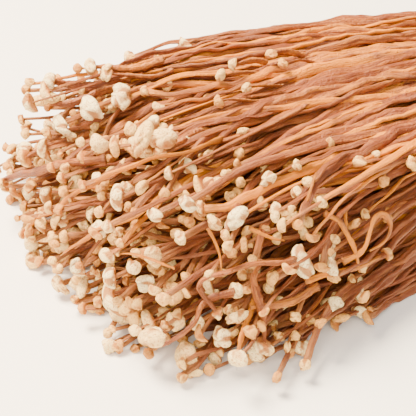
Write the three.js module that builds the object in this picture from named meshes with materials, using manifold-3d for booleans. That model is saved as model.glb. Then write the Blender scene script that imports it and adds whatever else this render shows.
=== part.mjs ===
// A bunch of dried enoki mushrooms, laid down: tufts of long thin stems that end in small caps.
// The trimmed feet point to +X, the stems fan out toward -X, and the bunch lies on z = 0.

import * as THREE from 'three';
import { mergeVertices } from 'three/addons/utils/BufferGeometryUtils.js';
import Module from 'manifold-3d';

const wasm = await Module();
wasm.setup();

// Driving dimensions, in millimetres.
const stemLength = 150;        // from the trimmed foot to the longest tips
const footX = 75;              // plane of the trimmed feet
const footHalfWidth = 23;      // half width of the bunch at its feet
const tipHalfWidth = 58;       // and at its tips, where it fans out
const footLayer = 8.2;         // thickness of one layer of tufts at the feet
const tipLayer = 13.6;         // and at the tips
const hump = 2;                // rise of each layer halfway along
const nearFall = 0.22;         // share by which a layer is thinner at the near edge of its tips
const farFall = 0.04;          // and at the far edge
const nearCut = 0.33;          // share by which the stems are shorter at the near edge
const farCut = 0.08;           // and at the far edge
const sideShift = -3.5;        // the fan reaches further on the far side, so it is centred by this
const gap = 0.4;               // free space between neighbouring tufts
const pressed = 0.6;           // how much the undersides are pressed flat on the surface
const stemRadius = 0.75;       // mean radius of a stem
const smallestCap = 0.8;       // radius of the smallest caps
const largestCap = 2.7;        // and of the largest that the rule gives

// Shares of the way from the feet (0) to the longest tips (1).
const coreProfile = [[0, 0], [1, 0], [1, 0.05], [0.7, 0.09], [0.74, 0.42], [0.5, 0.56], [0, 0.68]];
const rootAt = 0.03;           // where a stem is rooted, inside the shared foot

// A cap's outline: radius and height above the stem's end, both as shares of the cap's radius.
const capProfile = [[0.95, 0.25], [0.85, 1.15], [0, 1.5]];

const smallestEdge = 0.02;     // slivers finer than this are closed after joining

// How a stem leaves its straight path: shares of half the width of its tuft's cell.
const strandPull = 0.35;       // toward the strand that it belongs to
const ownSwing = 0.15;         // swing of a stem by itself
const sharedSwing = 0.2;       // swing that the stems of a strand share

// Counts.
const mushroomsPerTuft = 8;
const coreSides = 14;
const stemSides = 5;
const stemSteps = 5;

// How stems and caps are flattened: factors on the width and on the thickness.
const stemSection = [1.25, 0.75];
const capSection = [1.12, 0.9];

// The layers from the ground up. Reach is the share of the length where the tips end.
const layers = [
  { name: 'low', count: 6, spread: 1, reach: [0.86, 1] },
  { name: 'mid', count: 5, spread: 0.93, reach: [0.8, 0.99] },
  { name: 'top', count: 4, spread: 0.84, reach: [0.66, 0.97] },
];

// Mushrooms set by hand, most of them on the near side and on top, where the large caps show:
// tuft, place in the tuft, a, b and share of the length where the cap sits, radius of the cap.
const chosen = [
  [0, 0, 1, 1, 0.87, 2.6],
  [0, 1, 0.1, -0.4, 0.82, 2.4],
  [0, 2, -0.7, 1, 0.69, 1.9],
  [1, 0, -1, -1, 0.91, 3],
  [1, 1, -0.4, 1, 0.96, 2.7],
  [1, 2, 0.3, 0.6, 0.94, 2.6],
  [1, 3, -0.2, 1, 0.91, 2.4],
  [1, 4, -0.8, 1, 0.89, 1.8],
  [2, 0, -0.9, 1, 0.965, 3],
  [2, 1, -0.9, -0.4, 0.95, 2.9],
  [2, 2, 1, -0.3, 0.97, 2.2],
  [3, 0, -0.2, 0.9, 0.97, 1.9],
  [6, 0, -0.4, 0.8, 0.73, 2.9],
  [6, 1, -1, 0.3, 0.69, 2],
  [6, 2, 0.3, 0.1, 0.84, 1.8],
  [6, 3, -0.3, 0.6, 0.79, 1.6],
  [6, 4, 0.3, 1, 0.7, 1.5],
  [6, 5, 1, 0.8, 0.95, 1.7],
  [7, 0, -0.1, -0.8, 0.93, 2.4],
  [7, 1, 0.5, -0.4, 0.97, 2.2],
  [7, 2, 0, 0.5, 0.95, 1.6],
  [7, 3, -0.7, -0.4, 0.91, 1.6],
  [7, 4, -0.3, 0.8, 0.92, 1.5],
  [11, 0, 0.8, -0.5, 0.89, 1.7],
  [11, 1, 1, 1, 0.87, 2],
  [11, 2, 0.5, 0.9, 0.74, 1.7],
  [11, 3, 0.1, 0.5, 0.82, 2.3],
  [11, 4, -0.5, 0.8, 0.77, 1.7],
  [11, 5, 0.7, 0.9, 0.61, 1.5],
  [11, 6, -1, 1, 0.7, 1.3],
  [11, 7, -1, 1, 0.78, 1.4],
  [12, 0, 1, 1, 0.86, 2.4],
  [12, 1, 1, 1, 0.8, 2.6],
  [12, 2, 0.35, 1, 0.845, 1.7],
  [12, 3, -0.2, 0.5, 0.94, 2.2],
  [12, 4, -0.9, 0.3, 0.81, 1.7],
  [12, 5, -0.4, 1, 0.86, 1.7],
  [12, 6, -0.8, 0.5, 0.984, 1.6],
  [12, 7, -1, 0.3, 0.91, 1.9],
  [13, 0, -0.7, 0.9, 0.9, 2.4],
  [13, 1, 1, 0.9, 0.865, 2.9],
  [13, 2, 1, 1, 0.81, 3],
  [13, 3, -0.8, 1, 0.85, 1.9],
  [13, 4, -0.9, 0.8, 0.81, 2.3],
  [14, 0, -0.4, 1, 0.9, 2.1],
  [14, 1, -0.8, 1, 0.94, 2],
];

const mix = (from, to, share) => from + (to - from) * share;
const clamp = (value, low, high) => Math.min(high, Math.max(low, value));
const upward = new THREE.Vector3(0, 0, 1);
const fraction = value => value - Math.floor(value);

// A seeded draw between 0 and 1: the same numbers for the same item and use each time.
const draw = (item, use) => fraction(Math.sin(item * 12.9898 + use * 78.233) * 43758.5453);

// Half width of the fan at share s of the length.
const fanHalfWidth = s => mix(footHalfWidth, tipHalfWidth, s ** 1.1);

// Height of the surface between two layers: level 0 is the ground, level 3 the top of the bunch.
// It falls away toward the sides of the fan, more to the near side (-Y) than to the far one.
function levelHeight(level, s, y) {
  if (level === 0) return -pressed;
  const across = y / fanHalfWidth(s);
  const fall = nearFall * Math.max(0, -across) ** 2 + farFall * Math.max(0, across) ** 2;
  const thickness = mix(footLayer, tipLayer, s) * (1 - s * fall);
  return level * (thickness + hump * Math.sin(Math.PI * s));
}

// A point of a tuft's own cell: s along it, a (-1 to 1) across it and b (-1 to 1) up it.
// The margin keeps what has a radius clear of the neighbouring cells.
function cellPoint(tuft, s, a, b, margin) {
  const halfLayer = tuft.spread * fanHalfWidth(s);
  const y = halfLayer * tuft.across + a * (halfLayer / tuft.count - margin);
  const floor = levelHeight(tuft.level, s, y) + margin;
  const roof = levelHeight(tuft.level + 1, s, y) - margin;
  return new THREE.Vector3(footX - s * stemLength, y, mix(floor, roof, (b + 1) / 2));
}

// The swing of a stem at share s, as a share of its cell: two sines, one its own and one shared
// with its strand, each with a phase and a rate, that grow toward the cap.
function swing([phase, rate, strandPhase, strandRate], s) {
  const own = ownSwing * Math.sin(2 * Math.PI * (phase + rate * s));
  const shared = sharedSwing * Math.sin(2 * Math.PI * (strandPhase + strandRate * s));
  return s * (own + shared);
}

// One mushroom of a tuft: where it stands in the cell, which of the nine strands it leans to, how it
// swings and curls, where it ends and how large its cap is.
function mushroomRule(tuft, place) {
  const item = tuft.index * 100 + place;
  const a = 2 * fraction(0.75488 * (place + 1) + 0.37 * tuft.index) - 1;
  const b = 2 * fraction(0.56984 * (place + 1) + 0.61 * tuft.index) - 1;
  const column = Math.floor((a + 1) * 1.5);
  const row = Math.floor((b + 1) * 1.5);
  const strand = tuft.index * 100 + 50 + column + 3 * row;
  const across = tuft.across + a / tuft.count;
  const sideCut = nearCut * Math.max(0, -across) ** 3.5 + farCut * Math.max(0, across) ** 2;
  const waveOf = (member, use) => [draw(member, use), mix(0.6, 1.4, draw(member, use + 1))];
  const rule = {
    a,
    b,
    strandA: (column - 1) / 1.5,
    strandB: (row - 1) / 1.5,
    tip: mix(tuft.reach[0], tuft.reach[1], draw(item, 1)) * (1 - sideCut),
    roll: 2 * Math.PI * draw(item, 2),
    twist: 3 * (draw(item, 3) - 0.5),
    swingA: [...waveOf(item, 4), ...waveOf(strand, 4)],
    swingB: [...waveOf(item, 6), ...waveOf(strand, 6)],
    curlA: 2.2 * (draw(item, 9) - 0.5),
    curlB: mix(-1.2, 0.6, draw(item, 10)),
    cap: mix(smallestCap, largestCap, draw(item, 8) ** 4),
  };
  const own = chosen.find(([itsTuft, itsPlace]) => itsTuft === tuft.index && itsPlace === place);
  if (own) [, , rule.endA, rule.endB, rule.tip, rule.cap] = own;
  return rule;
}

// The axis of a mushroom at share s: it leans into its strand, swings, and curls over at the tip,
// or settles into the place that was chosen for its cap.
function mushroomPoint(tuft, rule, s) {
  const pull = strandPull * THREE.MathUtils.smoothstep(s, 0.1, 0.5);
  let a = mix(rule.a, rule.strandA, pull) + swing(rule.swingA, s);
  let b = mix(rule.b, rule.strandB, pull) + swing(rule.swingB, s);
  if (rule.endA === undefined) {
    const curl = clamp((s / rule.tip - 0.7) / 0.3, 0, 1.1) ** 3;
    a += rule.curlA * curl;
    b += rule.curlB * curl;
  } else {
    const settled = THREE.MathUtils.smoothstep(s / rule.tip, 0.4, 0.95);
    a = mix(a, rule.endA, settled);
    b = mix(b, rule.endB, settled);
  }
  const nearCap = THREE.MathUtils.smoothstep(s, rule.tip - 0.12, rule.tip);
  const widest = mix(stemRadius * stemSection[0], rule.cap * capSection[0], nearCap);
  return cellPoint(tuft, s, clamp(a, -1, 1), clamp(b, -1, 1), gap / 2 + widest);
}

// Turns a lathed geometry into a solid: bends each vertex, merges the seam, drops empty faces.
function bentSolid(geometry, bend) {
  const positions = geometry.attributes.position;
  const vertex = new THREE.Vector3();
  for (let i = 0; i < positions.count; i++) {
    const bent = bend(vertex.fromBufferAttribute(positions, i));
    positions.setXYZ(i, bent.x, bent.y, bent.z);
  }
  geometry.deleteAttribute('normal');
  geometry.deleteAttribute('uv');
  const merged = mergeVertices(geometry, 1e-4);
  const faces = [];
  const index = merged.index.array;
  for (let i = 0; i < index.length; i += 3) {
    const [p, q, r] = index.subarray(i, i + 3);
    if (p !== q && q !== r && r !== p) faces.push(p, q, r);
  }
  return new wasm.Manifold(new wasm.Mesh({
    numProp: 3,
    vertProperties: merged.attributes.position.array,
    triVerts: new Uint32Array(faces),
  }));
}

// The core: the packed inner stems of a tuft as one fluted body, squarish so that it fills its cell.
function core(tuft) {
  const profile = coreProfile.map(([radius, s]) => new THREE.Vector2(radius, s));
  return bentSolid(new THREE.LatheGeometry(profile, coreSides), vertex => {
    const radius = Math.hypot(vertex.x, vertex.z);
    const turn = Math.atan2(vertex.x, vertex.z);
    const flute = Math.round(turn / (2 * Math.PI) * coreSides) % 2 === 0 ? 1 : 0.86;
    const side = Math.sin(turn);
    const up = Math.cos(turn);
    const square = Math.max(Math.abs(side), Math.abs(up)) ** 0.7;
    const size = radius * flute / square;
    return cellPoint(tuft, vertex.y, size * side, size * up, gap / 2);
  });
}

// A mushroom: a lathed stem and cap, bent along its axis.
function mushroom(tuft, rule) {
  const profile = [new THREE.Vector2(0, rootAt)];
  for (let step = 0; step <= stemSteps; step++) {
    profile.push(new THREE.Vector2(stemRadius, mix(rootAt, rule.tip, step / stemSteps)));
  }
  for (const [radius, height] of capProfile) {
    profile.push(new THREE.Vector2(rule.cap * radius, rule.tip + rule.cap * height / stemLength));
  }
  return bentSolid(new THREE.LatheGeometry(profile, stemSides), vertex => {
    const s = vertex.y;
    const centre = mushroomPoint(tuft, rule, s);
    const along = mushroomPoint(tuft, rule, s + 0.01).sub(mushroomPoint(tuft, rule, s - 0.01)).normalize();
    const side = new THREE.Vector3().crossVectors(along, upward).normalize();
    const up = new THREE.Vector3().crossVectors(side, along);
    const [wide, flat] = s > rule.tip ? capSection : stemSection;
    const roll = rule.roll + rule.twist * s;
    const across = side.clone().multiplyScalar(Math.cos(roll)).addScaledVector(up, Math.sin(roll));
    const through = up.clone().multiplyScalar(Math.cos(roll)).addScaledVector(side, -Math.sin(roll));
    return centre.addScaledVector(across, vertex.x * wide).addScaledVector(through, vertex.z * flat);
  });
}

// A tuft: its core and its outer mushrooms grown into one body, and pressed flat where it lies.
function tuftSolid(tuft) {
  const pieces = [core(tuft)];
  for (let place = 0; place < mushroomsPerTuft; place++) {
    pieces.push(mushroom(tuft, mushroomRule(tuft, place)));
  }
  const grown = wasm.Manifold.union(pieces).trimByPlane([0, 0, 1], 0).simplify(smallestEdge);
  return grown.decompose().sort((one, other) => other.volume() - one.volume())[0];
}

const stemMaterial = new THREE.MeshStandardMaterial({ color: '#b8703f', roughness: 0.75, metalness: 0 });

const group = new THREE.Group();
group.position.y = sideShift;
let index = 0;
layers.forEach((layer, level) => {
  for (let i = 0; i < layer.count; i++) {
    const tuft = { ...layer, level, index, across: (2 * i + 1) / layer.count - 1 };
    const solid = tuftSolid(tuft).getMesh();
    const geometry = new THREE.BufferGeometry();
    geometry.setAttribute('position', new THREE.BufferAttribute(solid.vertProperties, 3));
    geometry.setIndex(new THREE.BufferAttribute(solid.triVerts, 1));
    const mesh = new THREE.Mesh(geometry, stemMaterial.clone());
    mesh.name = `tuft_${layer.name}_${i + 1}`;
    group.add(mesh);
    index += 1;
  }
});

export default group;
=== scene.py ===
# A bunch of dried enoki mushrooms, laid down: every tuft gets its full count of grooved stems
# and shrivelled caps, along the same paths as the solids of the frame.
import math

import bpy
import numpy as np
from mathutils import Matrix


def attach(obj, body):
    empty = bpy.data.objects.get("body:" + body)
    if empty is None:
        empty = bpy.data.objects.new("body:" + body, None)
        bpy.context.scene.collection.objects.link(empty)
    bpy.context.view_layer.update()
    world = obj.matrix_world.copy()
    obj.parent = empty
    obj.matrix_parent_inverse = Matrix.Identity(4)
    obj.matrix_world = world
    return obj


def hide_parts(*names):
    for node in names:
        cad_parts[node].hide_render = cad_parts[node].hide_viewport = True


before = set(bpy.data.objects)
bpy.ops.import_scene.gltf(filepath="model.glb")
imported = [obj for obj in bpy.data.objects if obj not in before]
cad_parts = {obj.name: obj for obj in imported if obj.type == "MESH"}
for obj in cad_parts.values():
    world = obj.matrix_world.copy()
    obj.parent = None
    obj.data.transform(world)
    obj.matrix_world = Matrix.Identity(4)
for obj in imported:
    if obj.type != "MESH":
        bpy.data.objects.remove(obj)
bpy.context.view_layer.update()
mm = 0.001

# the bunch, in millimetres: its paths follow the same rule as those of the solids
bunch = {
    "stemLength": 150.0,  # from the trimmed foot to the longest tips
    "footX": 75.0,  # plane of the trimmed feet
    "footHalfWidth": 23.0,
    "tipHalfWidth": 58.0,
    "flare": 1.1,  # power of the share by which the fan widens
    "footLayer": 8.2,  # thickness of a layer of tufts at the feet
    "tipLayer": 13.6,  # and at the tips
    "hump": 2.0,  # rise of each layer halfway along
    "nearFall": 0.22,  # share by which a layer is thinner at its near edge
    "farFall": 0.04,  # and at its far edge
    "nearCut": 0.33,  # share by which the stems are shorter at the near edge
    "nearPower": 3.5,  # how late that sets in
    "farCut": 0.08,
    "farPower": 2,
    "sideShift": -3.5,  # along Y, so the whole fan lies a little to the near side
    "gap": 0.3,  # between tufts, 0.1 less than the solids keep
    "solids": 8,  # the first mushrooms of each tuft are those of its solid
    "stray": 1.4,  # how far the others may lean out of their tuft, which closes the gaps
    # tufts in each layer, its share of the width, shares of the length between which its tips end,
    # mushrooms in each tuft, and how much darker and redder its stems are painted: painted shade on the lower
    # layers, a touch of painted light on the top
    "layers": (
        {"name": "low", "count": 6, "spread": 1.0, "reach": (0.86, 1.0), "mushrooms": 40, "paintedShade": 0.4},
        {"name": "mid", "count": 5, "spread": 0.93, "reach": (0.8, 0.99), "mushrooms": 40, "paintedShade": 0.2},
        {"name": "top", "count": 4, "spread": 0.84, "reach": (0.66, 0.97), "mushrooms": 54, "paintedShade": -0.05},
    ),
}

# mushrooms given one by one: tuft, place in it, where the tip ends across and up its cell (-1 to 1),
# share of the length, cap radius in millimetres, form of the cap
chosen = (
    (0, 0, 1, 1, 0.87, 2.6, "crumpled"),
    (0, 1, 0.1, -0.4, 0.82, 2.4, "bell"),
    (0, 2, -0.7, 1, 0.69, 1.9, "button"),
    (0, 28, -0.2, 0.2, 0.82, 1.7, "button"),
    (1, 0, -1, -1, 0.91, 3, "bean"),
    (1, 1, -0.4, 1, 0.96, 2.7, "bean"),
    (1, 2, 0.3, 0.6, 0.94, 2.6, "leaf"),
    (1, 3, -0.2, 1, 0.91, 2.4, "bell"),
    (1, 4, -0.8, 1, 0.89, 1.8, "button"),
    (2, 0, -0.9, 1, 0.965, 3, "folded"),
    (2, 1, -0.9, -0.4, 0.95, 2.9, "folded"),
    (2, 2, 1, -0.3, 0.97, 2.2, "leaf"),
    (3, 0, -0.2, 0.9, 0.97, 1.9, "bean"),
    (6, 0, -0.4, 0.8, 0.73, 2.9, "folded"),
    (6, 1, -1, 0.3, 0.69, 2, "bean"),
    (6, 2, 0.3, 0.1, 0.84, 1.8, "button"),
    (6, 3, -0.3, 0.6, 0.79, 1.6, "button"),
    (6, 4, 0.3, 1, 0.7, 1.5, "button"),
    (6, 5, 1, 0.8, 0.95, 1.7, "button"),
    (7, 0, -0.1, -0.8, 0.93, 2.4, "crumpled"),
    (7, 1, 0.5, -0.4, 0.97, 2.2, "crumpled"),
    (7, 2, 0, 0.5, 0.95, 1.6, "button"),
    (7, 3, -0.7, -0.4, 0.91, 1.6, "bean"),
    (7, 4, -0.3, 0.8, 0.92, 1.5, "button"),
    (11, 0, 0.8, -0.5, 0.89, 1.7, "button"),
    (11, 1, 1, 1, 0.87, 2, "crumpled"),
    (11, 2, 0.5, 0.9, 0.74, 1.7, "crumpled"),
    (11, 3, 0.1, 0.5, 0.82, 2.3, "bean"),
    (11, 4, -0.5, 0.8, 0.77, 1.7, "bean"),
    (11, 5, 0.7, 0.9, 0.61, 1.5, "bean"),
    (11, 6, -1, 1, 0.7, 1.3, "button"),
    (11, 7, -1, 1, 0.78, 1.4, "bean"),
    (12, 0, 1, 1, 0.86, 2.4, "bean"),
    (12, 1, 1, 1, 0.8, 2.6, "folded"),
    (12, 2, 0.35, 1, 0.845, 1.7, "button"),
    (12, 3, -0.2, 0.5, 0.94, 2.2, "crumpled"),
    (12, 4, -0.9, 0.3, 0.81, 1.7, "button"),
    (12, 5, -0.4, 1, 0.86, 1.7, "button"),
    (12, 6, -0.8, 0.5, 0.984, 1.6, "button"),
    (12, 7, -1, 0.3, 0.91, 1.9, "bean"),
    (13, 0, -0.7, 0.9, 0.9, 2.4, "button"),
    (13, 1, 1, 0.9, 0.865, 2.9, "bean"),
    (13, 2, 1, 1, 0.81, 3, "crumpled"),
    (13, 3, -0.8, 1, 0.85, 1.9, "button"),
    (13, 4, -0.9, 0.8, 0.81, 2.3, "bean"),
    (14, 0, -0.4, 1, 0.9, 2.1, "bean"),
    (14, 1, -0.8, 1, 0.94, 2, "bean"),
    (14, 12, 0.7, -0.2, 0.66, 1.4, "button"),
    (14, 45, 0.8, 0.2, 0.72, 1.6, "button"),
)


def fraction(value):  # what is left after the whole number
    return value - np.floor(value)


def draw(item, use):
    # a seeded draw from 0 to 1: the fraction of a large multiple of a sine; item is the number of
    # the mushroom, and use tells its draws apart
    return fraction(np.sin(item * 12.9898 + use * 78.233) * 43758.5453)


def mix(start, end, share):  # straight line from start to end
    return start + (end - start) * share


def smoothStep(value, low, high):  # 0 below low, 1 above high, 3t^2 - 2t^3 between
    t = np.clip((value - low) / (high - low), 0, 1)
    return t * t * (3 - 2 * t)


def perRing(values):  # one value for each mushroom, to be combined with its rings
    return np.asarray(values)[:, None]


def perPoint(values):  # and with the points of each ring
    return np.asarray(values)[:, None, None]


def fanHalfWidth(s):
    # half width of the bunch at share s of the length: from the feet's to the tips' by a power of s
    return mix(bunch["footHalfWidth"], bunch["tipHalfWidth"], s ** bunch["flare"])


def levelHeight(level, s, y):
    # level times a layer's thickness and hump: the thickness grows toward the tips and falls with
    # the square of the way to either side, and the hump is half a sine along the length
    across = y / fanHalfWidth(s)
    near, far = np.maximum(0, -across), np.maximum(0, across)
    fall = bunch["nearFall"] * near**2 + bunch["farFall"] * far**2
    thickness = mix(bunch["footLayer"], bunch["tipLayer"], s) * (1 - s * fall)
    return level * (thickness + bunch["hump"] * np.sin(math.pi * s))


def cellPoint(tuft, s, a, b, margin):
    # a point of a tuft's own cell: s from 0 to 1 along it, a and b from -1 to 1 across and up it,
    # where the walls of the cell are drawn in by the margin
    halfLayer = tuft["spread"] * fanHalfWidth(s)
    y = halfLayer * tuft["across"] + a * (halfLayer / tuft["count"] - margin)
    floor = levelHeight(tuft["level"], s, y) + margin
    roof = levelHeight(tuft["level"] + 1, s, y) - margin
    x = bunch["footX"] - s * bunch["stemLength"]
    return np.stack([x + 0 * y, y + bunch["sideShift"], mix(floor, roof, (b + 1) / 2)], axis=-1)


# caps: radii in millimetres, and the rest as shares of the radius
cap = {
    "solids": (0.8, 2.7),  # smallest and largest radius of the caps that the solids have
    "between": (1.15, 2.3),  # and of those that fill in between them
    "fewLarge": 4,  # power of the draw of the radius: the higher, the fewer large caps
    "large": (17, 20),  # rings and sides of the caps above the radius below
    "largeFrom": 1.5,
    "small": (9, 11),
    "sweep": (0.06, 0.985),  # the first and last ring, of the way from the stem to the apex
    "smallDome": (1.4, 1.0, 1.8),  # factor on the height of caps of the first radius, none from the second
    "smallSize": (1.2, 0.8, 1.5),  # and on their radius
    # each lump: its depth, its waves round and up the cap, and the draws of their phases
    "lumps": ((0.08, 2, 2, 60, 61), (0.06, 3, 3, 62, 65), (0.03, 6, 5, 58, 57)),
    "lobePower": 10,  # the higher, the narrower the notches between the lobes
    "crease": (0.24, 0.06),  # depth and narrowness of a crease
    "dimple": (0.22, 0.35),  # depth and radius of the hollow at the apex
    "standOff": 0.3,  # how far the whole cap is moved off the end of its stem
    "droop": 0.1,  # how far its sides hang
    "lean": 0.75,  # how far a cap leans over from its stem, as a slope
    "pale": (0.14, 1.1, 2.4),  # tint of the smallest, and the radii between which caps grow paler
    # a share of the mushrooms has each form, which has a range for each of these measures
    "measures": ("long", "dome", "fold", "lobes", "notch", "point", "hollow"),
    "forms": {
        "button": (0.34, (1.0, 1.2), (0.7, 0.9), (-0.05, 0.08), (5, 5), (0.0, 0.12), (0, 0), (0.0, 0.2)),
        "bean": (0.26, (1.3, 1.7), (0.6, 0.8), (0.08, 0.24), (2, 2), (0.12, 0.24), (0, 0), (0.0, 0.2)),
        "crumpled": (0.2, (1.05, 1.4), (0.6, 0.9), (0.0, 0.2), (3, 4), (0.2, 0.32), (0, 0), (0.0, 0.2)),
        "folded": (0.06, (1.5, 1.8), (0.55, 0.7), (0.2, 0.34), (3, 3), (0.2, 0.34), (0, 0), (0.0, 0.2)),
        "leaf": (0.04, (1.5, 1.7), (0.45, 0.55), (0.05, 0.12), (2, 2), (0.0, 0.08), (0.2, 0.35), (0, 0)),
        "bell": (0.1, (1.0, 1.15), (0.85, 1.1), (-0.05, 0.1), (6, 6), (0.05, 0.14), (0, 0), (0.3, 0.55)),
    },
}


# how the mushrooms of a tuft are spread over it and bent
growth = {
    "steps": ((0.75488, 0.37), (0.56984, 0.61)),  # across and up: from place to place, from tuft to tuft
    "strands": 3,  # across each tuft, and up it
    "rate": (0.6, 1.4),  # swings along the bunch
    "twist": 3.0,  # radians along the bunch, up to half of it either way
    "curlAcross": 2.2,  # of the tip, in half cells, up to half of it either way
    "curlUp": (-1.2, 0.6),
}


def swingRule(item, strand, use):  # phase and rate of a mushroom's own swing, then of its strand's
    rule = []
    for member in (item, strand):
        rule += [draw(member, use), mix(*growth["rate"], draw(member, use + 1))]
    return np.stack(rule, axis=-1)


def mushroomRules(tuft):
    # places spread over the cell by the fractions of two irrational steps, and gathered into strands
    # by rounding; the side cut is a power of the way to either side, and the rest is drawn
    index, strands = tuft["index"], growth["strands"]
    place = np.arange(tuft["mushrooms"])
    item = index * 100 + place
    a, b = (2 * fraction(step * (place + 1) + shift * index) - 1 for step, shift in growth["steps"])
    column, row = np.floor((a + 1) * (strands / 2)), np.floor((b + 1) * (strands / 2))
    middle = (strands - 1) / 2
    strand = index * 100 + 50 + column + strands * row
    across = tuft["across"] + a / tuft["count"]
    near, far = np.maximum(0, -across), np.maximum(0, across)
    sideCut = bunch["nearCut"] * near ** bunch["nearPower"] + bunch["farCut"] * far ** bunch["farPower"]
    inSolid = place < bunch["solids"]
    share = draw(item, 8) ** cap["fewLarge"]
    rules = {
        "item": item,
        "a": a,
        "b": b,
        "across": across,
        "strandA": (column - middle) / (strands / 2),
        "strandB": (row - middle) / (strands / 2),
        "tip": mix(*tuft["reach"], draw(item, 1)) * (1 - sideCut),
        "twist": growth["twist"] * (draw(item, 3) - 0.5),
        "swingA": swingRule(item, strand, 4),
        "swingB": swingRule(item, strand, 6),
        "curlA": growth["curlAcross"] * (draw(item, 9) - 0.5),
        "curlB": mix(*growth["curlUp"], draw(item, 10)),
        "cap": np.where(inSolid, mix(*cap["solids"], share), mix(*cap["between"], share)),
        "stray": np.where(inSolid, 0.0, bunch["stray"]),
        # painted shade: the stems of the lower layers are tinted darker and redder
        "tint": draw(item, 50) - tuft["paintedShade"],
        "chosen": np.zeros(len(place)),
        "endA": np.zeros(len(place)),
        "endB": np.zeros(len(place)),
    }
    names = list(cap["forms"])
    limits = np.cumsum([cap["forms"][name][0] for name in names])
    form = np.minimum(np.searchsorted(limits, draw(item, 11)), len(names) - 1)
    for tuftIndex, its, *ends, name in chosen:
        if tuftIndex == index:
            for key, value in zip(("chosen", "endA", "endB", "tip", "cap"), (1, *ends)):
                rules[key][its] = value
            form[its] = names.index(name)
    for use, measure in enumerate(cap["measures"]):
        ranges = np.array([cap["forms"][name][use + 1] for name in names], dtype=float)[form]
        rules[measure] = mix(ranges[:, 0], ranges[:, 1], draw(item, 12 + use))
    rules["lobes"] = np.round(rules["lobes"])
    return rules


def pick(rules, wanted):  # the rules of some of the mushrooms
    return {key: values[wanted] for key, values in rules.items()}


# stems: the radius in millimetres, and pairs of shares of the length are where something sets in
stem = {
    "radius": 0.86,
    "section": (1.42, 0.72),  # factors on the width and on the thickness
    "vary": (0.75, 1.25),  # factor by which those and the waves differ from stem to stem
    "size": (0.82, 1.2),  # and the radius
    "outer": (60, 12),  # rings and sides of the stems that show
    "inner": (32, 8),  # and of those inside the bunch
    "strandPull": (0.35, 0.1, 0.5),  # toward the middle of its strand, and where
    "ownSwing": 0.15,  # in half cells, at the tip
    "sharedSwing": 0.2,
    "curl": (0.7, 0.3),  # share of the stem where its tip starts to curl, and over which it does
    "settle": (0.4, 0.95),  # where a stem of `chosen` turns toward its end
    "capRoom": 0.12,  # share of the length over which a stem draws away from the cell's wall for its cap
    "free": (0.02, 0.3),  # where the waves grow
    "waves": ((2.4, 1.2), (5.2, 0.6), (9.0, 0.45), (17.0, 0.35), (29.0, 0.14)),  # how often, and millimetres
    "kink": 0.5,  # how much of a wave is zigzag
    "bed": 0.8,  # least height of a path over the surface, as a share of the radius there
    "groove": (0.42, 0.14),  # depth and narrowness of the groove along each broad face
    "grooves": (0.4, 1.3),  # factor on that depth
    "furrow": 0.12,  # depth of the furrows beside it
    "pinch": 0.15,  # how much the thickness varies along the stem
    "pinches": ((0.6, 3, 4, 45), (0.4, 9, 8, 47)),  # share, fewest, how many more at most, draws
    "lean": 1.1,  # how far a broad face may lean from facing up, in radians
    "neck": (0.54, 0.6, 0.97),  # factor on the radius under the cap, and where
    "rootSwell": (1.3, 0.07),  # factor on the radius at the foot, and over which share
    "uneven": 0.009,  # how far inside the plane of the feet a stem may be cut, as a share of the length
}


def swing(drift, s):
    # a stem's own sideways swing and its strand's: two sines along the length, times s
    phase, rate, strandPhase, strandRate = (drift[:, [i]] for i in range(4))
    own = stem["ownSwing"] * np.sin(2 * math.pi * (phase + rate * s))
    shared = stem["sharedSwing"] * np.sin(2 * math.pi * (strandPhase + strandRate * s))
    return s * (own + shared)


def stemAxis(tuft, rules, s):
    # a straight line in the cell, mixed with its strand's, plus the swing and a cube that curls the
    # tip, or ending where it was chosen to; then a lean out of the cell, and fine waves, part sine
    # and part zigzag, that grow from the foot
    tip, settled = perRing(rules["tip"]), perRing(rules["chosen"])
    pull = stem["strandPull"][0] * smoothStep(s, *stem["strandPull"][1:])
    curlFrom, curlOver = stem["curl"]
    curl = (1 - settled) * np.clip((s / tip - curlFrom) / curlOver, 0, 1.1) ** 3
    settled = settled * smoothStep(s / tip, *stem["settle"])
    place = []
    for key in "AB":
        straight = mix(perRing(rules[key.lower()]), perRing(rules["strand" + key]), pull)
        bent = straight + swing(rules["swing" + key], s) + perRing(rules["curl" + key]) * curl
        place.append(np.clip(mix(bent, perRing(rules["end" + key]), settled), -1, 1))
    widest = mix(stem["radius"], perRing(rules["cap"]), smoothStep(s, tip - stem["capRoom"], tip))
    axis = cellPoint(tuft, s, *place, bunch["gap"] / 2 + widest)
    isTop = tuft["level"] == len(bunch["layers"]) - 1
    axis[..., 1] += perRing(rules["stray"]) * place[0]
    axis[..., 2] += perRing(rules["stray"]) * np.minimum(place[1], 0.0 if isTop else 1.0)
    free = smoothStep(s, *stem["free"]) * (1 - settled)
    for wave, (rate, size) in enumerate(stem["waves"]):
        for direction, use in ((1, 20 + wave), (2, 30 + wave)):
            phase = perRing(draw(rules["item"], use))
            often = rate * perRing(mix(*stem["vary"], draw(rules["item"], use + 60)))
            amount = size * perRing(draw(rules["item"], use + 80))
            turn = 2 * math.pi * (phase + often * s)
            kinked = 2 / math.pi * np.arcsin(np.sin(turn))
            axis[..., direction] += amount * free * mix(np.sin(turn), kinked, stem["kink"])
    axis[..., 2] = np.maximum(axis[..., 2], widest * stem["bed"])
    return axis


def frameAlong(axis):
    # unit directions along each path, by central differences, sideways and level, and square to both
    along = np.gradient(axis, axis=1)
    along /= np.linalg.norm(along, axis=-1, keepdims=True)
    side = np.cross(along, (0.0, 0.0, 1.0))
    side /= np.linalg.norm(side, axis=-1, keepdims=True)
    return along, side, np.cross(side, along)


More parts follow.
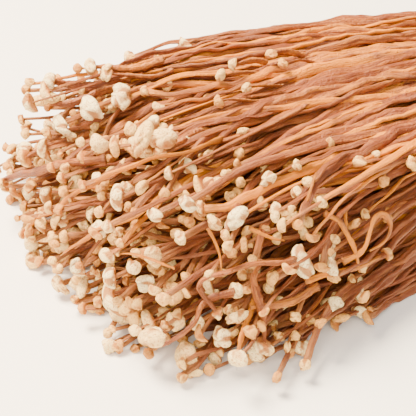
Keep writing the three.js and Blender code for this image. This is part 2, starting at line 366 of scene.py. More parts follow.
def tubeFaces(count, rings, sides):
    # quads between neighbouring rings and a fan on each end, for count tubes one after another
    ring, turn = np.meshgrid(np.arange(rings - 1), np.arange(sides), indexing="ij")
    after = (turn + 1) % sides
    here, beyond = ring * sides, (ring + 1) * sides
    quads = np.stack([here + turn, here + after, beyond + after, beyond + turn], axis=-1).reshape(-1, 4)
    first = np.arange(sides)
    nextOne = (first + 1) % sides
    last = (rings - 1) * sides
    startFan = np.stack([first * 0 + rings * sides, nextOne, first], axis=-1)
    endFan = np.stack([first * 0 + rings * sides + 1, last + first, last + nextOne], axis=-1)
    step = (np.arange(count) * (rings * sides + 2))[:, None, None]
    return (quads + step).reshape(-1, 4), (np.concatenate([startFan, endFan]) + step).reshape(-1, 3)


def closeTubes(grid):
    # two poles, the means of the end rings, after the rings of each tube, all in one list
    count, rings, sides = grid.shape[:3]
    rest = grid.shape[3:]
    poles = np.stack([grid[:, 0].mean(axis=1), grid[:, -1].mean(axis=1)], axis=1)
    flat = np.concatenate([grid.reshape(count, rings * sides, *rest), poles], axis=1)
    return flat.reshape(-1, *rest)


def addPiece(name, parts, node=None):
    # one mesh of tubes: each part is a dictionary of a point grid in millimetres, a material and one
    # grid for each value that the points carry; closed, smooth, and flat where it meets the surface
    points, quads, tris, quadMaterial, triMaterial, grains = [], [], [], [], [], []
    values = {"tint": [], "share": [], "ridge": []}
    offset = 0
    for number, part in enumerate(parts):
        grid = part["grid"]
        shape = grid.shape[:3]
        four, three = tubeFaces(*shape)
        points.append(closeTubes(grid))
        quads.append(four + offset)
        tris.append(three + offset)
        quadMaterial.append(np.full(len(four), number))
        triMaterial.append(np.full(len(three), number))
        grains.append(closeTubes(np.broadcast_to(part["grain"], grid.shape)))
        for key, found in values.items():
            found.append(closeTubes(np.broadcast_to(part[key], shape)))
        offset += len(points[-1])
    points = np.concatenate(points)
    points[:, 2] = np.maximum(points[:, 2], 0)
    quads, tris = np.concatenate(quads), np.concatenate(tris)
    loops = np.concatenate([quads.ravel(), tris.ravel()])
    sizes = np.concatenate([np.full(len(quads), 4), np.full(len(tris), 3)])
    mesh = bpy.data.meshes.new(name)
    mesh.vertices.add(len(points))
    mesh.vertices.foreach_set("co", (points * mm).astype(np.float32).ravel())
    mesh.loops.add(len(loops))
    mesh.loops.foreach_set("vertex_index", loops.astype(np.int32))
    mesh.polygons.add(len(sizes))
    mesh.polygons.foreach_set("loop_start", (np.cumsum(sizes) - sizes).astype(np.int32))
    materialIndex = np.concatenate(quadMaterial + triMaterial)
    mesh.polygons.foreach_set("material_index", materialIndex.astype(np.int32))
    mesh.update(calc_edges=True)
    mesh.polygons.foreach_set("use_smooth", np.ones(len(sizes), dtype=bool))
    for key, found in values.items():
        attribute = mesh.attributes.new(key, "FLOAT", "POINT")
        attribute.data.foreach_set("value", np.concatenate(found).astype(np.float32))
    attribute = mesh.attributes.new("grain", "FLOAT_VECTOR", "POINT")
    attribute.data.foreach_set("vector", np.concatenate(grains).astype(np.float32).ravel())
    for part in parts:
        mesh.materials.append(part["material"])
    piece = bpy.data.objects.new(name, mesh)
    bpy.context.scene.collection.objects.link(piece)
    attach(piece, "root")
    if node:
        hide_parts(node)
    return len(quads) * 2 + len(tris)


def ribbonSection(item, turn, share, s):
    # radius of a stem round its axis: an ellipse, less a bell curve down each broad face, times
    # cosines of three and five furrows round it and two sines of pinches along it, all drifting
    # slowly; and the ridge, which is high on the edges and low in the grooves, and which the stem's
    # colour uses for painted shade in the grooves and painted highlight on the edges
    drawn = lambda use: perPoint(draw(item, use))
    wide, flat = (width * mix(*stem["vary"], drawn(40 + i)) for i, width in enumerate(stem["section"]))
    ellipse = 1 / np.sqrt((np.cos(turn) / wide) ** 2 + (np.sin(turn) / flat) ** 2)
    slide = 2 * math.pi * (drawn(42) + (drawn(43) - 0.5) * 1.6 * s)
    drift = turn + 0.5 * np.sin(slide)
    groove = np.exp(-(np.cos(drift) ** 2) / stem["groove"][1])
    furrow = 0.6 * np.cos(3 * turn + slide) + 0.4 * np.cos(5 * turn - 1.7 * slide + 6 * drawn(44))
    pinch = 0
    for amount, fewest, more, use in stem["pinches"]:
        pinch = pinch + amount * np.sin(2 * math.pi * (drawn(use) + (fewest + more * drawn(use + 1)) * share))
    neck = mix(1, stem["neck"][0], smoothStep(share, *stem["neck"][1:]))
    swell = mix(stem["rootSwell"][0], 1, smoothStep(share, 0.0, stem["rootSwell"][1]))
    size = mix(*stem["size"], drawn(49)) * stem["radius"] * neck * swell
    depth = stem["groove"][0] * mix(*stem["grooves"], drawn(51))
    grooved, pinched = 1 - depth * groove + stem["furrow"] * furrow, 1 + stem["pinch"] * pinch
    radius = size * ellipse * grooved * pinched
    ridge = np.cos(drift) ** 2 - 1.2 * groove + 0.5 * furrow
    return radius, ridge


def stemPart(rules, axis, s, sides, material, width=1.0):
    # the grooved section carried along the axis: radius times cosine sideways and times sine upward,
    # turned by the lean of its broad face, which grows with the twist; grain is round and along it
    item = rules["item"]
    along, side, up = frameAlong(axis)
    turn = 2 * math.pi * np.arange(sides)[None, None, :] / sides
    share = (s / s[:, -1:])[..., None]
    radius, ridge = ribbonSection(item, turn, share, s[..., None])
    lean = perRing(stem["lean"] * (2 * draw(item, 52) - 1)) + perRing(rules["twist"]) * (s - 0.5)
    angle = turn + lean[..., None]
    spread = (width * radius * np.cos(angle))[..., None] * side[:, :, None, :]
    lift = (width * radius * np.sin(angle))[..., None] * up[:, :, None, :]
    distance = perPoint(item * 37.0) + s[..., None] * bunch["stemLength"]
    return {
        "grid": axis[:, :, None, :] + spread + lift,
        "material": material,
        "tint": perPoint(rules["tint"]),
        "share": share,
        "ridge": ridge,
        "grain": np.stack(np.broadcast_arrays(np.cos(turn), np.sin(turn), distance), axis=-1),
    }


def capPart(rules, end, detail, material):
    # sweep runs from the stem round the rim to the apex, and turn round the cap: the sine of sweep
    # outward and its cosine up, times the swell, which is lumps less a power of a cosine for the
    # lobes and narrow bell curves for the creases; stretched, and folded down by a square
    rings, sides = detail
    item = rules["item"]
    drawn = lambda use: perPoint(draw(item, use))
    of = lambda key: perPoint(rules[key])
    sweep = np.linspace(*cap["sweep"], rings)[None, :, None] * math.pi
    turn = 2 * math.pi * np.arange(sides)[None, None, :] / sides
    below = np.clip(np.cos(sweep), 0, 1)
    above = np.clip(-np.cos(sweep), 0, 1)
    dome = of("dome") * mix(cap["smallDome"][0], 1, smoothStep(of("cap"), *cap["smallDome"][1:]))
    lift = mix(-0.55, 0.25, of("hollow")) * below - 0.3 * of("hollow") * np.clip(np.sin(2 * sweep), 0, 1)
    lift = lift + dome * above
    lumps = 0
    for depth, waves, rows, use, rowUse in cap["lumps"]:
        around = np.sin(waves * turn + 6 * drawn(use))
        lumps = lumps + depth * around * np.sin(rows * sweep + 6 * drawn(rowUse))
    bend = np.sin(2 * sweep)
    valley = np.abs(np.cos(of("lobes") / 2 * turn + 3 * drawn(56) + 0.4 * bend)) ** cap["lobePower"]
    crease = 0
    for use in (72, 73, 74):
        angle = 2 * math.pi * drawn(use) + 0.5 * bend
        crease = crease + np.exp((np.cos(turn - angle) - 1) / cap["crease"][1]) * drawn(use + 3)
    fold = np.sin(sweep) ** 0.5 * (of("notch") * valley + cap["crease"][0] * crease)
    swell = 1 + lumps - fold
    spread = np.sin(sweep) ** 0.75 * swell
    dimple = np.exp(-((spread / cap["dimple"][1]) ** 2)) * (sweep > math.pi / 2)
    dimple = cap["dimple"][0] * drawn(66) ** 2 * dimple
    pointed = np.abs(np.sin(turn)) ** of("point")
    x = spread * np.cos(turn) * of("long")
    y = spread * np.sin(turn) * pointed / of("long") ** 0.35
    z = lift * swell - dimple - of("fold") * x * x - cap["droop"] * y * y + cap["standOff"]
    along, side, up = (direction[:, 1] for direction in frameAlong(end))
    lean = perRing(rules.get("lean", cap["lean"] * (2 * draw(item, 68) - 1)))
    nod = perRing(rules.get("nod", cap["lean"] * (2 * draw(item, 69) - 0.8)))
    axis = along + lean * side + nod * up
    axis /= np.linalg.norm(axis, axis=-1, keepdims=True)
    spin = perRing(rules.get("spin", 2 * math.pi * draw(item, 70)))
    first = np.cos(spin) * side + np.sin(spin) * up
    first = first - (first * axis).sum(axis=-1, keepdims=True) * axis
    first /= np.linalg.norm(first, axis=-1, keepdims=True)
    second = np.cross(axis, first)
    radius = of("cap") * mix(cap["smallSize"][0], 1, smoothStep(of("cap"), *cap["smallSize"][1:]))
    pale = 0.5 * drawn(71) + 0.5 * smoothStep(of("cap"), *cap["pale"][1:]) + cap["pale"][0]
    grid = end[:, 1][:, None, None, :]
    for amount, direction in ((x, first), (y, second), (z, axis)):
        grid = grid + (amount * radius)[..., None] * direction[:, None, None, :]
    return {
        "grid": grid,
        "material": material,
        "tint": np.clip(pale, 0, 1),
        # painted shade: the share is low under the rim, where the cap's colour turns tan
        "share": sweep / math.pi,
        # painted shade: low in the notches between the lobes and in the creases, where the cap's colour turns
        # tan
        "ridge": -fold / 0.3,
        "grain": np.stack(np.broadcast_arrays(x, y, z + perPoint(item * 5.0)), axis=-1),
    }


# the middle of each tuft
core = {
    # radius, as a share of the cell's half width, at shares of the length
    "outline": ((0, 0.012), (0.86, 0.014), (0.94, 0.05), (0.7, 0.09), (0.74, 0.42), (0.5, 0.56), (0, 0.68)),
    "detail": (56, 60),  # rings and sides
    "stems": 22,  # ridges round it, each the back of a stem
    "relief": 0.09,  # their height, as a share of the radius
    "margin": 0.6,  # millimetres inside the wall of the cell
    "tint": 0.8,
}


def corePart(tuft, material):
    # the outline turned about the cell's middle line, divided by a power of its larger coordinate
    # to fill the square cell, with a cosine of wandering ridges, one for each stem that shows
    rings, sides = core["detail"]
    radius, s = np.array(core["outline"]).T
    steps = np.linspace(0.12, len(radius) - 1.03, rings)
    knots = np.arange(len(radius))
    radius, s = (np.interp(steps, knots, values)[:, None] for values in (radius, s))
    turn = 2 * math.pi * np.arange(sides)[None, :] / sides
    seed = tuft["index"] * 1.7
    wander = 0.5 * np.sin(9 * s + seed) + 0.25 * np.sin(23 * s + 2 * turn + seed)
    ridge = np.cos(core["stems"] * turn + 3 * wander + 2 * np.sin(3 * turn + seed))
    ridge = 0.7 * ridge + 0.3 * np.sin(3 * turn + 14 * s + seed)
    square = np.maximum(np.abs(np.sin(turn)), np.abs(np.cos(turn))) ** 0.7
    size = radius * (1 + core["relief"] * smoothStep(s, 0.0, 0.08) * (ridge - 0.8)) / square
    grid = cellPoint(tuft, s + 0 * turn, size * np.sin(turn), size * np.cos(turn), core["margin"])
    distance = s * bunch["stemLength"] + seed * 40
    grain = np.broadcast_arrays(8 * np.cos(turn), 8 * np.sin(turn), distance)
    return {
        "grid": grid[None],
        "material": material,
        "tint": core["tint"],
        "share": s[None] * 0.8,
        "ridge": 0.5 * ridge[None] + 0.1,
        "grain": np.stack(grain, axis=-1)[None],
    }


# loose stems, fibres and mushrooms that lie over the bunch: points of the route and radii in
# millimetres, tint from brown to amber, and where there is a cap its radius and its form
loose = {
    "lobed_mushroom": {
        "route": ((-36, -8, 37.5), (-42, -8.5, 39.2), (-48.5, -9.6, 40), (-51, -11.2, 42),
                  (-52, -12.6, 43.2)),
        "radius": 0.8, "tint": 0.6, "cap": 2.65,
        "form": {"long": 1.3, "dome": 0.85, "fold": 0.06, "notch": 0.08, "nod": 0.2, "lean": 0.0,
                 "spin": -0.15},
    },
    "long_stem": {
        "route": ((-38, -14, 38.5), (-45, -15.5, 40.5), (-52, -16, 41.4), (-57, -15.5, 41.6),
                  (-61, -14.5, 41),
                  (-64, -10, 37.6), (-66, -4.5, 32), (-68.5, 0.5, 27), (-70.5, 6, 20.5), (-72, 13, 13.5),
                  (-73, 21, 5)),
        "radius": 0.7, "tint": 1.0, "cap": 1.1,
    },
    "amber_stem": {
        "route": ((-55, -18, 33), (-60, -17, 31), (-65, -16, 28.7), (-69, -13, 26), (-71.5, -7, 20),
                  (-73.5, -3, 15)),
        "radius": 0.85, "tint": 0.98,
    },
    "far_stem": {
        "route": ((-58, 4, 31), (-62, 8, 30), (-66, 14, 26), (-68.5, 22, 21), (-70, 29, 16), (-71, 36, 11)),
        "radius": 0.7, "tint": 0.4,
    },
    "bent_stem": {
        "route": ((-38, -42, 24), (-46, -42, 25.5), (-53, -40.5, 25.8), (-57.5, -38.5, 25.2),
                  (-59.3, -38, 23.5),
                  (-58.8, -38.5, 20.5), (-57.5, -39.5, 17.5), (-56.5, -40, 15.5)),
        "radius": 0.8, "tint": 0.45, "cap": 1.5,
    },
    "curved_stem": {
        "route": ((-52, -40, 20), (-56, -39, 18.8), (-59, -38.5, 16.8), (-61, -39, 14.5), (-64, -39, 13.4),
                  (-67, -38, 11.4), (-69.5, -36.5, 9)),
        "radius": 0.95, "tint": 0.25,
    },
    "drooping_stem": {
        "route": ((-45, -40, 25), (-48, -42, 22), (-48, -43, 18.5), (-47.5, -44, 14.5), (-48, -46, 11),
                  (-48.6, -47.5, 8)),
        "radius": 0.75, "tint": 0.5, "cap": 2.2,
    },
    "twisted_stem": {
        "route": ((-47, -41, 15), (-49, -42.5, 13.6), (-51.5, -44, 12.6), (-54, -45.5, 11.6),
                  (-55.5, -46.5, 8)),
        "radius": 0.8, "tint": 0.95,
    },
    "level_stem": {
        "route": ((-32, -44, 14), (-38, -44.5, 14.6), (-43, -44.4, 15), (-46.5, -43.8, 15.2),
                  (-49.5, -43, 15.4)),
        "radius": 0.7, "tint": 0.8,
    },
    "hooked_stem": {
        "route": ((-26, -44.5, 19), (-21, -44.7, 21), (-18.5, -44, 24), (-16.5, -43, 25.8),
                  (-14.5, -42.5, 26),
                  (-12.8, -42.5, 25), (-12, -43, 22.8), (-12.8, -43.6, 20.8), (-15, -44.2, 19.8),
                  (-18.5, -44.8, 19.6)),
        "radius": 0.62, "tint": 0.9,
    },
    "forked_stem": {
        "route": ((-28, -39.5, 30.5), (-25, -40.5, 28.2), (-24, -42.6, 25.4), (-23, -44.8, 21.2),
                  (-22, -45.4, 15.5)),
        "radius": 0.62, "tint": 0.9,
    },
    "fork_branch": {
        "route": ((-21.5, -38.5, 28.4), (-22.5, -40, 27), (-23.6, -42.2, 25.2)),
        "radius": 0.5, "tint": 0.9,
    },
    "pale_stem": {
        "route": ((-36, -44, 18), (-30, -45, 17.6), (-24, -45.2, 17.2), (-18, -44.8, 16.6),
                  (-13, -44.2, 15.6)),
        "radius": 0.5, "tint": 0.9, "cap": 1.2,
    },
    "upper_fibre": {
        "route": ((-62.5, -33, 25.4), (-64.5, -31.5, 26.4), (-66, -28.5, 26.6), (-68, -24.5, 26.4),
                  (-69.6, -21.2, 25)),
        "radius": 0.24, "tint": 1.0, "cap": 0.5,
    },
    "hanging_fibre": {
        "route": ((-54, -33, 32.5), (-53, -34.5, 29), (-53, -36, 26.5), (-54, -38, 23.5)),
        "radius": 0.26, "tint": 0.95,
    },
    "side_fibre": {
        "route": ((-35, -39.5, 29), (-34.5, -40, 32), (-33, -39.5, 35.5), (-31, -38.5, 38.2), (-28, -36, 39)),
        "radius": 0.26, "tint": 0.9,
    },
    "splinter": {
        "route": ((-46, -36.5, 32), (-43.5, -38, 30.4), (-41, -39, 28.6), (-38.5, -39.5, 27)),
        "radius": 0.5, "tint": 0.95,
    },
    "left_lobe": {
        "route": ((-46, -7, 39.5), (-51, -7.4, 40.8), (-55, -8.6, 41.8), (-56.2, -10, 43.2)),
        "radius": 0.7, "tint": 0.6, "cap": 2.45,
        "form": {"long": 1.85, "dome": 0.8, "fold": 0.05, "notch": 0.06, "nod": 0.1, "lean": -0.1,
                 "spin": 2.05},
    },
    "low_lobe": {
        "route": ((-44, -9, 38.5), (-49.5, -10, 38.8), (-52.4, -11.2, 39.2), (-53.4, -12.6, 40.3)),
        "radius": 0.6, "tint": 0.6, "cap": 1.6,
        "form": {"long": 1.2, "dome": 0.9, "fold": 0.0, "notch": 0.25, "nod": 0.0, "lean": 0.0, "spin": 0.6},
    },
    "far_mushroom": {
        "route": ((-42, 21.5, 35), (-48.7, 22.4, 35.8), (-53.7, 23.3, 35.6), (-57.8, 24.8, 35.1),
                  (-61.3, 26.5, 35.4)),
        "radius": 0.95, "tint": 0.5, "cap": 2.1,
        "form": {"long": 1.85, "dome": 0.8, "fold": 0.05, "notch": 0.08, "nod": 2.5, "lean": 0.0,
                 "spin": 1.57},
    },
    "far_knob": {
        "route": ((-40, 22.5, 37), (-46.4, 24, 37.5), (-51, 25.6, 37.7), (-55.1, 27.3, 38.2),
                  (-58, 28.5, 38.6)),
        "radius": 1.1, "tint": 0.3, "cap": 2.2,
    },
    "upper_knob": {
        "route": ((-33, 19, 41), (-38.9, 20, 41.5), (-43.3, 21, 41.9), (-46.7, 22.6, 42.2),
                  (-49.7, 23.9, 42.2)),
        "radius": 0.8, "tint": 0.7, "cap": 1.9,
    },
    "second_knob": {
        "route": ((-32, 17, 39.5), (-37.6, 17.7, 39.8), (-41.9, 18.7, 40.4), (-44.9, 20.2, 40.6),
                  (-47, 21.2, 41.1)),
        "radius": 0.75, "tint": 0.6, "cap": 1.8,
    },
    "left_knob": {
        "route": ((-54, 19.5, 28.5), (-59.1, 19.1, 28.3), (-64, 19, 27.8), (-67.3, 19.9, 27.4),
                  (-70.2, 21, 26.4)),
        "radius": 0.95, "tint": 0.35, "cap": 1.9,
    },
}

# short mushrooms that come up between the stems of the top layer
short = {
    "rise": ((10, 0.3, -3.2), (6.5, 0.2, -1.5), (3, 0.1, -0.4), (0, 0, 0)),  # the stem, seen from its cap
    "caps": (  # place and radius
        (-8.6, 9.0, 40.3, 1.25), (-8.7, 3.9, 40.3, 1.2), (-19.2, 9.4, 41.0, 1.2),
        (-24.9, 6.4, 41.3, 1.2), (-22.7, -1.3, 41.2, 1.1), (-31.7, -4.0, 41.6, 1.2),
    ),
    "radius": 0.5,
    "tint": 0.7,
}
for number, (x, y, z, radius) in enumerate(short["caps"]):
    loose[f"short_mushroom_{number + 1}"] = {
        "route": [(x + ahead, y + aside, z + above) for ahead, aside, above in short["rise"]],
        "radius": short["radius"], "tint": short["tint"], "cap": radius,
    }

# stems that lie on the surface, in the gaps between the low tufts
loose["under_stem"] = {
    "route": ((-46, -39.1, 1.1), (-37, -37.2, 1.3), (-27, -35.1, 1.4), (-16, -32.9, 1.3), (-4, -30.8, 1.2),
              (10, -28.4, 1)),
    "radius": 1.2, "tint": 0.25,
}
loose["edge_stem"] = {
    "route": ((-26, -42.4, 1), (-18, -41.4, 1.1), (-10.5, -40.5, 1.2), (-3, -39.4, 1.2), (8, -37.4, 1.1),
              (20, -35, 1)),
    "radius": 1.0, "tint": 0.3,
}

# the form of a loose cap, where its piece doesn't say otherwise
plainForm = {"long": 1.3, "dome": 0.8, "fold": 0.1, "lobes": 3, "notch": 0.15, "point": 0, "hollow": 0.1}


def smoothRoute(points, rings):
    # a curve through the points: cubic pieces whose slope at a point is half the step between
    # its neighbours
    points = np.array(points, dtype=float)
    slopes = np.gradient(points, axis=0)
    place = np.linspace(0, len(points) - 1.0001, rings)
    first = place.astype(int)
    t = (place - first)[:, None]
    start, end = points[first], points[first + 1]
    atStart, atEnd = slopes[first] - (end - start), slopes[first + 1] - (end - start)
    return mix(start, end, t) + t * (1 - t) * ((1 - t) * atStart - t * atEnd)


def looseParts(number, settings, stemMaterial, capMaterial):
    # a stem along its own route, with two sines of waves 16 and 20 mm long, and its cap if it has one
    item = np.array([5000.0 + number])  # past the numbers of the tufts' mushrooms
    route = smoothRoute(settings["route"], stem["outer"][0])[None]
    step = np.linalg.norm(np.diff(route, axis=1), axis=-1)
    s = np.concatenate([np.zeros((1, 1)), np.cumsum(step, axis=1)], axis=1) / bunch["stemLength"]
    for direction, rate in ((1, 60.0), (2, 47.0)):
        route[..., direction] += 0.5 * settings["radius"] * np.sin(rate * s + number)
    rules = {"item": item, "twist": np.array([2.0]), "tint": np.array([settings["tint"]])}
    width = settings["radius"] / stem["radius"]
    parts = [stemPart(rules, route, s, stem["inner"][1], stemMaterial, width)]
    if "cap" in settings:
        form = {**plainForm, **settings.get("form", {}), "cap": settings["cap"]}
        rules.update({measure: np.array([float(value)]) for measure, value in form.items()})
        parts.append(capPart(rules, route[:, -3:], cap["large"], capMaterial))
    return parts


def tuftParts(tuft, stemMaterial, capMaterial):
    # its core, its stems and its caps: what is at the sides or on top, and what is chosen, shows,
    # and gets more faces than what is inside
    rules = mushroomRules(tuft)
    isTop = tuft["level"] == len(bunch["layers"]) - 1
    shows = (np.abs(rules["across"]) > 0.8) | (rules["chosen"] > 0) | (isTop & (rules["b"] > -0.4))
    parts = [corePart(tuft, stemMaterial)]
    for wanted, (rings, sides) in ((shows, stem["outer"]), (~shows, stem["inner"])):
        some = pick(rules, wanted)
        cut = stem["uneven"] * perRing(draw(some["item"], 90))
        s = mix(cut, perRing(some["tip"]), np.linspace(0, 1, rings)[None, :] ** 0.9)
        parts.append(stemPart(some, stemAxis(tuft, some, s), s, sides, stemMaterial))
    large = rules["cap"] > cap["largeFrom"]
    for wanted, detail in ((large, cap["large"]), (~large, cap["small"])):
        some = pick(rules, wanted)
        reach = perRing(some["tip"]) + np.array([[-0.01, 0, 0.01]])  # just before and after the tip
        parts.append(capPart(some, stemAxis(tuft, some, reach), detail, capMaterial))
    return parts


def linear(hexColour):
    # sRGB to linear: (v + 0.055) / 1.055 to the power 2.4, or v / 12.92 near black
    channels = [int(hexColour[i : i + 2], 16) / 255 for i in (1, 3, 5)]
    return [((v + 0.055) / 1.055) ** 2.4 if v > 0.04045 else v / 12.92 for v in channels] + [1.0]


def addNode(tree, kind, inputs=None, **settings):  # a node with its settings, values and links
    node = tree.nodes.new(kind)
    for key, value in settings.items():
        setattr(node, key, value)
    for socket, value in (inputs or {}).items():
        if isinstance(value, bpy.types.NodeSocket):
            tree.links.new(value, node.inputs[socket])
        else:
            node.inputs[socket].default_value = value
    return node


def newMaterial(name, values):  # values: what the shader's own sockets are set to
    material = bpy.data.materials.new(name)
    material.use_nodes = True
    tree = material.node_tree
    shader = tree.nodes["Principled BSDF"]
    for socket, value in values.items():
        shader.inputs[socket].default_value = value
    return material, tree, shader


def readAttributes(tree):  # the values that a piece carries at its points
    read = {}
    for name, output in (("tint", "Fac"), ("share", "Fac"), ("ridge", "Fac"), ("grain", "Vector")):
        read[name] = addNode(tree, "ShaderNodeAttribute", attribute_name=name).outputs[output]
    return read


def patternValues(tree, place, patterns):
    # one noise for each pattern, whose grains measure one over its stretch along each direction
    values = {}
    for name, (stretch, detail, distortion) in patterns.items():
        scaled = addNode(tree, "ShaderNodeVectorMath", {0: place, 1: stretch}, operation="MULTIPLY")
        inputs = {"Vector": scaled.outputs[0], "Scale": 1.0, "Detail": detail, "Distortion": distortion}
        values[name] = addNode(tree, "ShaderNodeTexNoise", inputs).outputs["Fac"]
    return values


def paint(tree, values, factor, finish):
    # a ramp of colours along the factor, then each layer's colour mixed over it, at most by its
    # share, as far as its value has gone from low to high
    node = addNode(tree, "ShaderNodeValToRGB", {"Fac": values[factor]})
    while len(node.color_ramp.elements) < len(finish["ramp"]):
        node.color_ramp.elements.new(0.5)
    for element, (place, hexColour) in zip(node.color_ramp.elements, finish["ramp"]):
        element.position = place
        element.color = linear(hexColour)
    colour = node.outputs["Color"]
    for name, low, high, most, hexColour in finish["layers"]:
        span = {"Value": values[name], "From Min": low, "From Max": high, "To Min": 0.0, "To Max": most}
        share = addNode(tree, "ShaderNodeMapRange", span, interpolation_type="SMOOTHSTEP")
        inputs = {0: share.outputs[0], 6: colour, 7: linear(hexColour)}  # factor and two colours
        colour = addNode(tree, "ShaderNodeMix", inputs, data_type="RGBA").outputs[2]
    return colour


# the dried stem: stretch of each pattern per millimetre, round and along it, detail and distortion
stemFinish = {
    "shader": {
        "Roughness": 0.46,
        "IOR": 1.45,
        "Specular IOR Level": 0.45,
        "Subsurface Weight": 0.08,
        "Subsurface Radius": (1.0, 0.42, 0.18),
        "Subsurface Scale": 0.6 * mm,
    },
    "patterns": {
        "fibres": ((2.3, 2.3, 0.22), 4.0, 0.0),  # lines 0.4 mm wide, 5 mm long
        "wrinkles": ((1.3, 1.3, 0.9), 2.0, 1.0),  # wrinkles 1 mm apart
        "speckle": ((5.0, 5.0, 3.5), 2.0, 0.0),  # dust in grains of 0.3 mm
        "patches": ((0.7, 0.7, 0.12), 3.0, 0.0),  # bloom in patches of 8 mm
        "stain": ((0.15, 0.15, 0.09), 2.0, 0.0),  # darker and golden stretches of 11 mm
    },
    "ramp": ((0.0, "#6e3315"), (0.3, "#8b4719"), (0.6, "#a25b1c"), (0.85, "#bb7322"), (1.0, "#d18a28")),
    "layers": (  # value, from where to where it sets in, its share at most, colour
        ("fibres", 0.52, 0.62, 0.5, "#bd7838"),
        ("fibres", 0.48, 0.38, 0.8, "#6a311c"),
        ("wrinkles", 0.46, 0.34, 0.6, "#783d22"),
        # painted shade: darker red brown where the ridge value is low, in the grooves of the stems and cores
        ("ridge", 0.0, -1.1, 0.55, "#783e28"),
        ("share", 0.45, 0.85, 0.5, "#864724"),
        # bloom and painted highlight: paler where patches meet raised edges, plus real dust in the speckle
        ("bloomAndHighlight", 0.56, 0.9, 0.36, "#ac764c"),
        ("stain", 0.45, 0.3, 0.3, "#98684e"),
        ("tone", 0.7, 1.0, 0.92, "#de8512"),
        ("share", 0.95, 1.0, 0.4, "#c88c4c"),
        ("share", 0.05, 0.0, 0.6, "#8d5a34"),
    ),
    "dust": 0.5,  # of the speckle, beside the patches on what stands up
    "tone": (1.1, 0.55),  # of the stain, beside the tint, and what is taken off
    "grit": 0.3,  # of the speckle, in the relief
    "bump": {"Strength": 1.0, "Distance": 0.6 * mm},
}


def driedStem():
    # dried stem: tough, leathery skin over fibres, amber to red brown, with a pale pinkish bloom and
    # painted highlight on what stands up, painted shade of dark red brown in the grooves, and a satin sheen
    # like that of hide
    finish = stemFinish
    material, tree, shader = newMaterial("dried mushroom stem", finish["shader"])
    values = readAttributes(tree)
    values.update(patternValues(tree, values["grain"], finish["patterns"]))
    # painted highlight: bloom patches turn paler where the ridge stands up
    raised = addNode(tree, "ShaderNodeMath", {0: values["patches"], 1: values["ridge"]}, operation="MULTIPLY")
    inputs = {0: values["speckle"], 1: finish["dust"], 2: raised.outputs[0]}
    values["bloomAndHighlight"] = addNode(tree, "ShaderNodeMath", inputs, operation="MULTIPLY_ADD").outputs[0]
    inputs = {0: values["stain"], 1: finish["tone"][0], 2: values["tint"]}
    aged = addNode(tree, "ShaderNodeMath", inputs, operation="MULTIPLY_ADD")
    inputs = {0: aged.outputs[0], 1: finish["tone"][1]}
    values["tone"] = addNode(tree, "ShaderNodeMath", inputs, operation="SUBTRACT", use_clamp=True).outputs[0]
    relief = addNode(tree, "ShaderNodeMath", {0: values["fibres"], 1: values["wrinkles"]}, operation="ADD")
    inputs = {0: values["speckle"], 1: finish["grit"], 2: relief.outputs[0]}
    height = addNode(tree, "ShaderNodeMath", inputs, operation="MULTIPLY_ADD")
    bump = addNode(tree, "ShaderNodeBump", {"Height": height.outputs[0], **finish["bump"]})
    tree.links.new(paint(tree, values, "tone", finish), shader.inputs["Base Color"])
    tree.links.new(bump.outputs[0], shader.inputs["Normal"])
    return material


# the dried cap: stretch of each pattern per metre, detail and distortion
capFinish = {
    "shader": {
        "Roughness": 0.75,
        "Specular IOR Level": 0.3,
        "Subsurface Weight": 0.15,
        "Subsurface Radius": (1.0, 0.7, 0.45),
        "Subsurface Scale": 0.8 * mm,
    },
    "patterns": {
        "patches": ((500.0, 500.0, 500.0), 3.0, 0.0),  # stains 2 mm across
        "wrinkles": ((1300.0, 1300.0, 1300.0), 3.0, 1.5),  # 0.8 mm apart
        "chalk": ((2600.0, 2600.0, 2600.0), 2.0, 0.0),  # grains of 0.4 mm, coarser than real so they show
    },
    "ramp": ((0.0, "#b46a2a"), (0.3, "#dea04e"), (0.6, "#f4c878"), (1.0, "#ffebb0")),
    "layers": (
        ("patches", 0.5, 0.72, 0.4, "#e6b678"),
        ("wrinkles", 0.48, 0.34, 0.8, "#c0803e"),
        ("chalk", 0.52, 0.68, 0.4, "#e2b472"),
        # painted shade: tan in the notches between the lobes and in the creases
        ("ridge", -0.08, -0.6, 0.85, "#a86526"),
        # painted shade: tan on the underside, toward the stem
        ("share", 0.5, 0.22, 0.9, "#b56a28"),
    ),
    "grit": 0.25,  # of the chalk, in the relief
    "bump": {"Strength": 0.8, "Distance": 0.9 * mm},
}


def driedCap():
    # dried cap: chalky, slightly waxy ivory skin that lets light in, with painted shade, tan, in its
    # folds and under its rim, and fine wrinkles like a walnut's
    finish = capFinish
    material, tree, shader = newMaterial("dried mushroom cap", finish["shader"])
    values = readAttributes(tree)
    place = addNode(tree, "ShaderNodeTexCoord").outputs["Object"]
    values.update(patternValues(tree, place, finish["patterns"]))
    inputs = {0: values["chalk"], 1: finish["grit"], 2: values["wrinkles"]}
    height = addNode(tree, "ShaderNodeMath", inputs, operation="MULTIPLY_ADD")
    bump = addNode(tree, "ShaderNodeBump", {"Height": height.outputs[0], **finish["bump"]})
    tree.links.new(paint(tree, values, "tint", finish), shader.inputs["Base Color"])
    tree.links.new(bump.outputs[0], shader.inputs["Normal"])
    return material


# the camera: lengths in millimetres, angles in degrees
view = {
    "azimuth": -33.0,  # round the bunch, where 0 looks along +Y
    "elevation": 36.0,
    "distance": 370.0,
    "aim": (-33.0, -0.5, 10.0),
    "fieldOfView": 15.5,
}


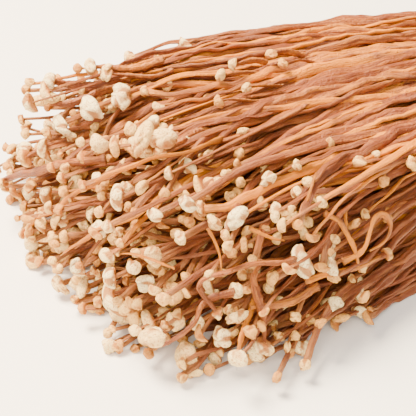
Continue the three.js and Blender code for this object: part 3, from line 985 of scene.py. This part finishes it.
def addCamera():
    # stands back from the aim along cos and sin of its azimuth and elevation
    turn, rise = math.radians(view["azimuth"]), math.radians(view["elevation"])
    back = np.array([math.sin(turn) * math.cos(rise), -math.cos(turn) * math.cos(rise), math.sin(rise)])
    data = bpy.data.cameras.new("camera")
    data.angle = math.radians(view["fieldOfView"])
    data.clip_start = 0.01
    camera = bpy.data.objects.new("camera", data)
    camera.location = (np.array(view["aim"]) + back * view["distance"]) * mm
    camera.rotation_euler = (math.pi / 2 - rise, 0, turn)
    bpy.context.scene.collection.objects.link(camera)
    bpy.context.scene.camera = camera


# soft boxes: place and size in metres, power in watts
lights = {
    "key": {"place": (-0.2, 0.22, 0.6), "size": 0.28, "power": 30.0, "colour": "#ffe8c6"},
    "fill": {"place": (-0.3, -0.4, 0.42), "size": 0.4, "power": 6.0, "colour": "#fff0dc"},
}


def addLight(name, settings):
    # an area light at its place, turned to face the aim
    data = bpy.data.lights.new(name, "AREA")
    data.size = settings["size"]
    data.energy = settings["power"]
    data.color = linear(settings["colour"])[:3]
    light = bpy.data.objects.new(name, data)
    light.location = settings["place"]
    away = np.array(settings["place"]) - np.array(view["aim"]) * mm
    flat = math.hypot(away[0], away[1])
    light.rotation_euler = (math.atan2(flat, away[2]), 0, math.atan2(away[1], away[0]) + math.pi / 2)
    bpy.context.scene.collection.objects.link(light)


# the plain surroundings
room = {
    "floorHalf": 3.0,  # metres from the middle of the floor to its edges
    "floor": "#f4f2ee",
    "world": "#fbfbff",
    "strength": 0.68,
}


def addFloor():
    # one square face at z = 0
    half = room["floorHalf"]
    corners = [(-half, -half, 0), (half, -half, 0), (half, half, 0), (-half, half, 0)]
    mesh = bpy.data.meshes.new("floor")
    mesh.from_pydata(corners, [], [(0, 1, 2, 3)])
    values = {"Base Color": linear(room["floor"]), "Roughness": 0.9}
    mesh.materials.append(newMaterial("pale paper sweep", values)[0])
    floor = bpy.data.objects.new("floor", mesh)
    bpy.context.scene.collection.objects.link(floor)


def addWorld():
    # the same pale light from every direction
    world = bpy.data.worlds.new("soft studio")
    world.use_nodes = True
    background = world.node_tree.nodes["Background"]
    background.inputs["Color"].default_value = linear(room["world"])
    background.inputs["Strength"].default_value = room["strength"]
    bpy.context.scene.world = world


addCamera()
addFloor()
addWorld()
for name, settings in lights.items():
    addLight(name, settings)
print("camera, light and floor ready")

stemMaterial, capMaterial = driedStem(), driedCap()
triangles = 0
index = 0
for level, layer in enumerate(bunch["layers"]):
    for number in range(layer["count"]):
        tuft = dict(layer, level=level, index=index, across=(2 * number + 1) / layer["count"] - 1)
        node = f"tuft_{layer['name']}_{number + 1}"
        triangles += addPiece(node + "_grown", tuftParts(tuft, stemMaterial, capMaterial), node)
        index += 1
print("tufts grown:", index, "with", triangles, "triangles")

for number, (name, settings) in enumerate(loose.items()):
    triangles += addPiece(name, looseParts(number, settings, stemMaterial, capMaterial))
print("loose stems laid:", len(loose), "with the tufts", triangles, "triangles")
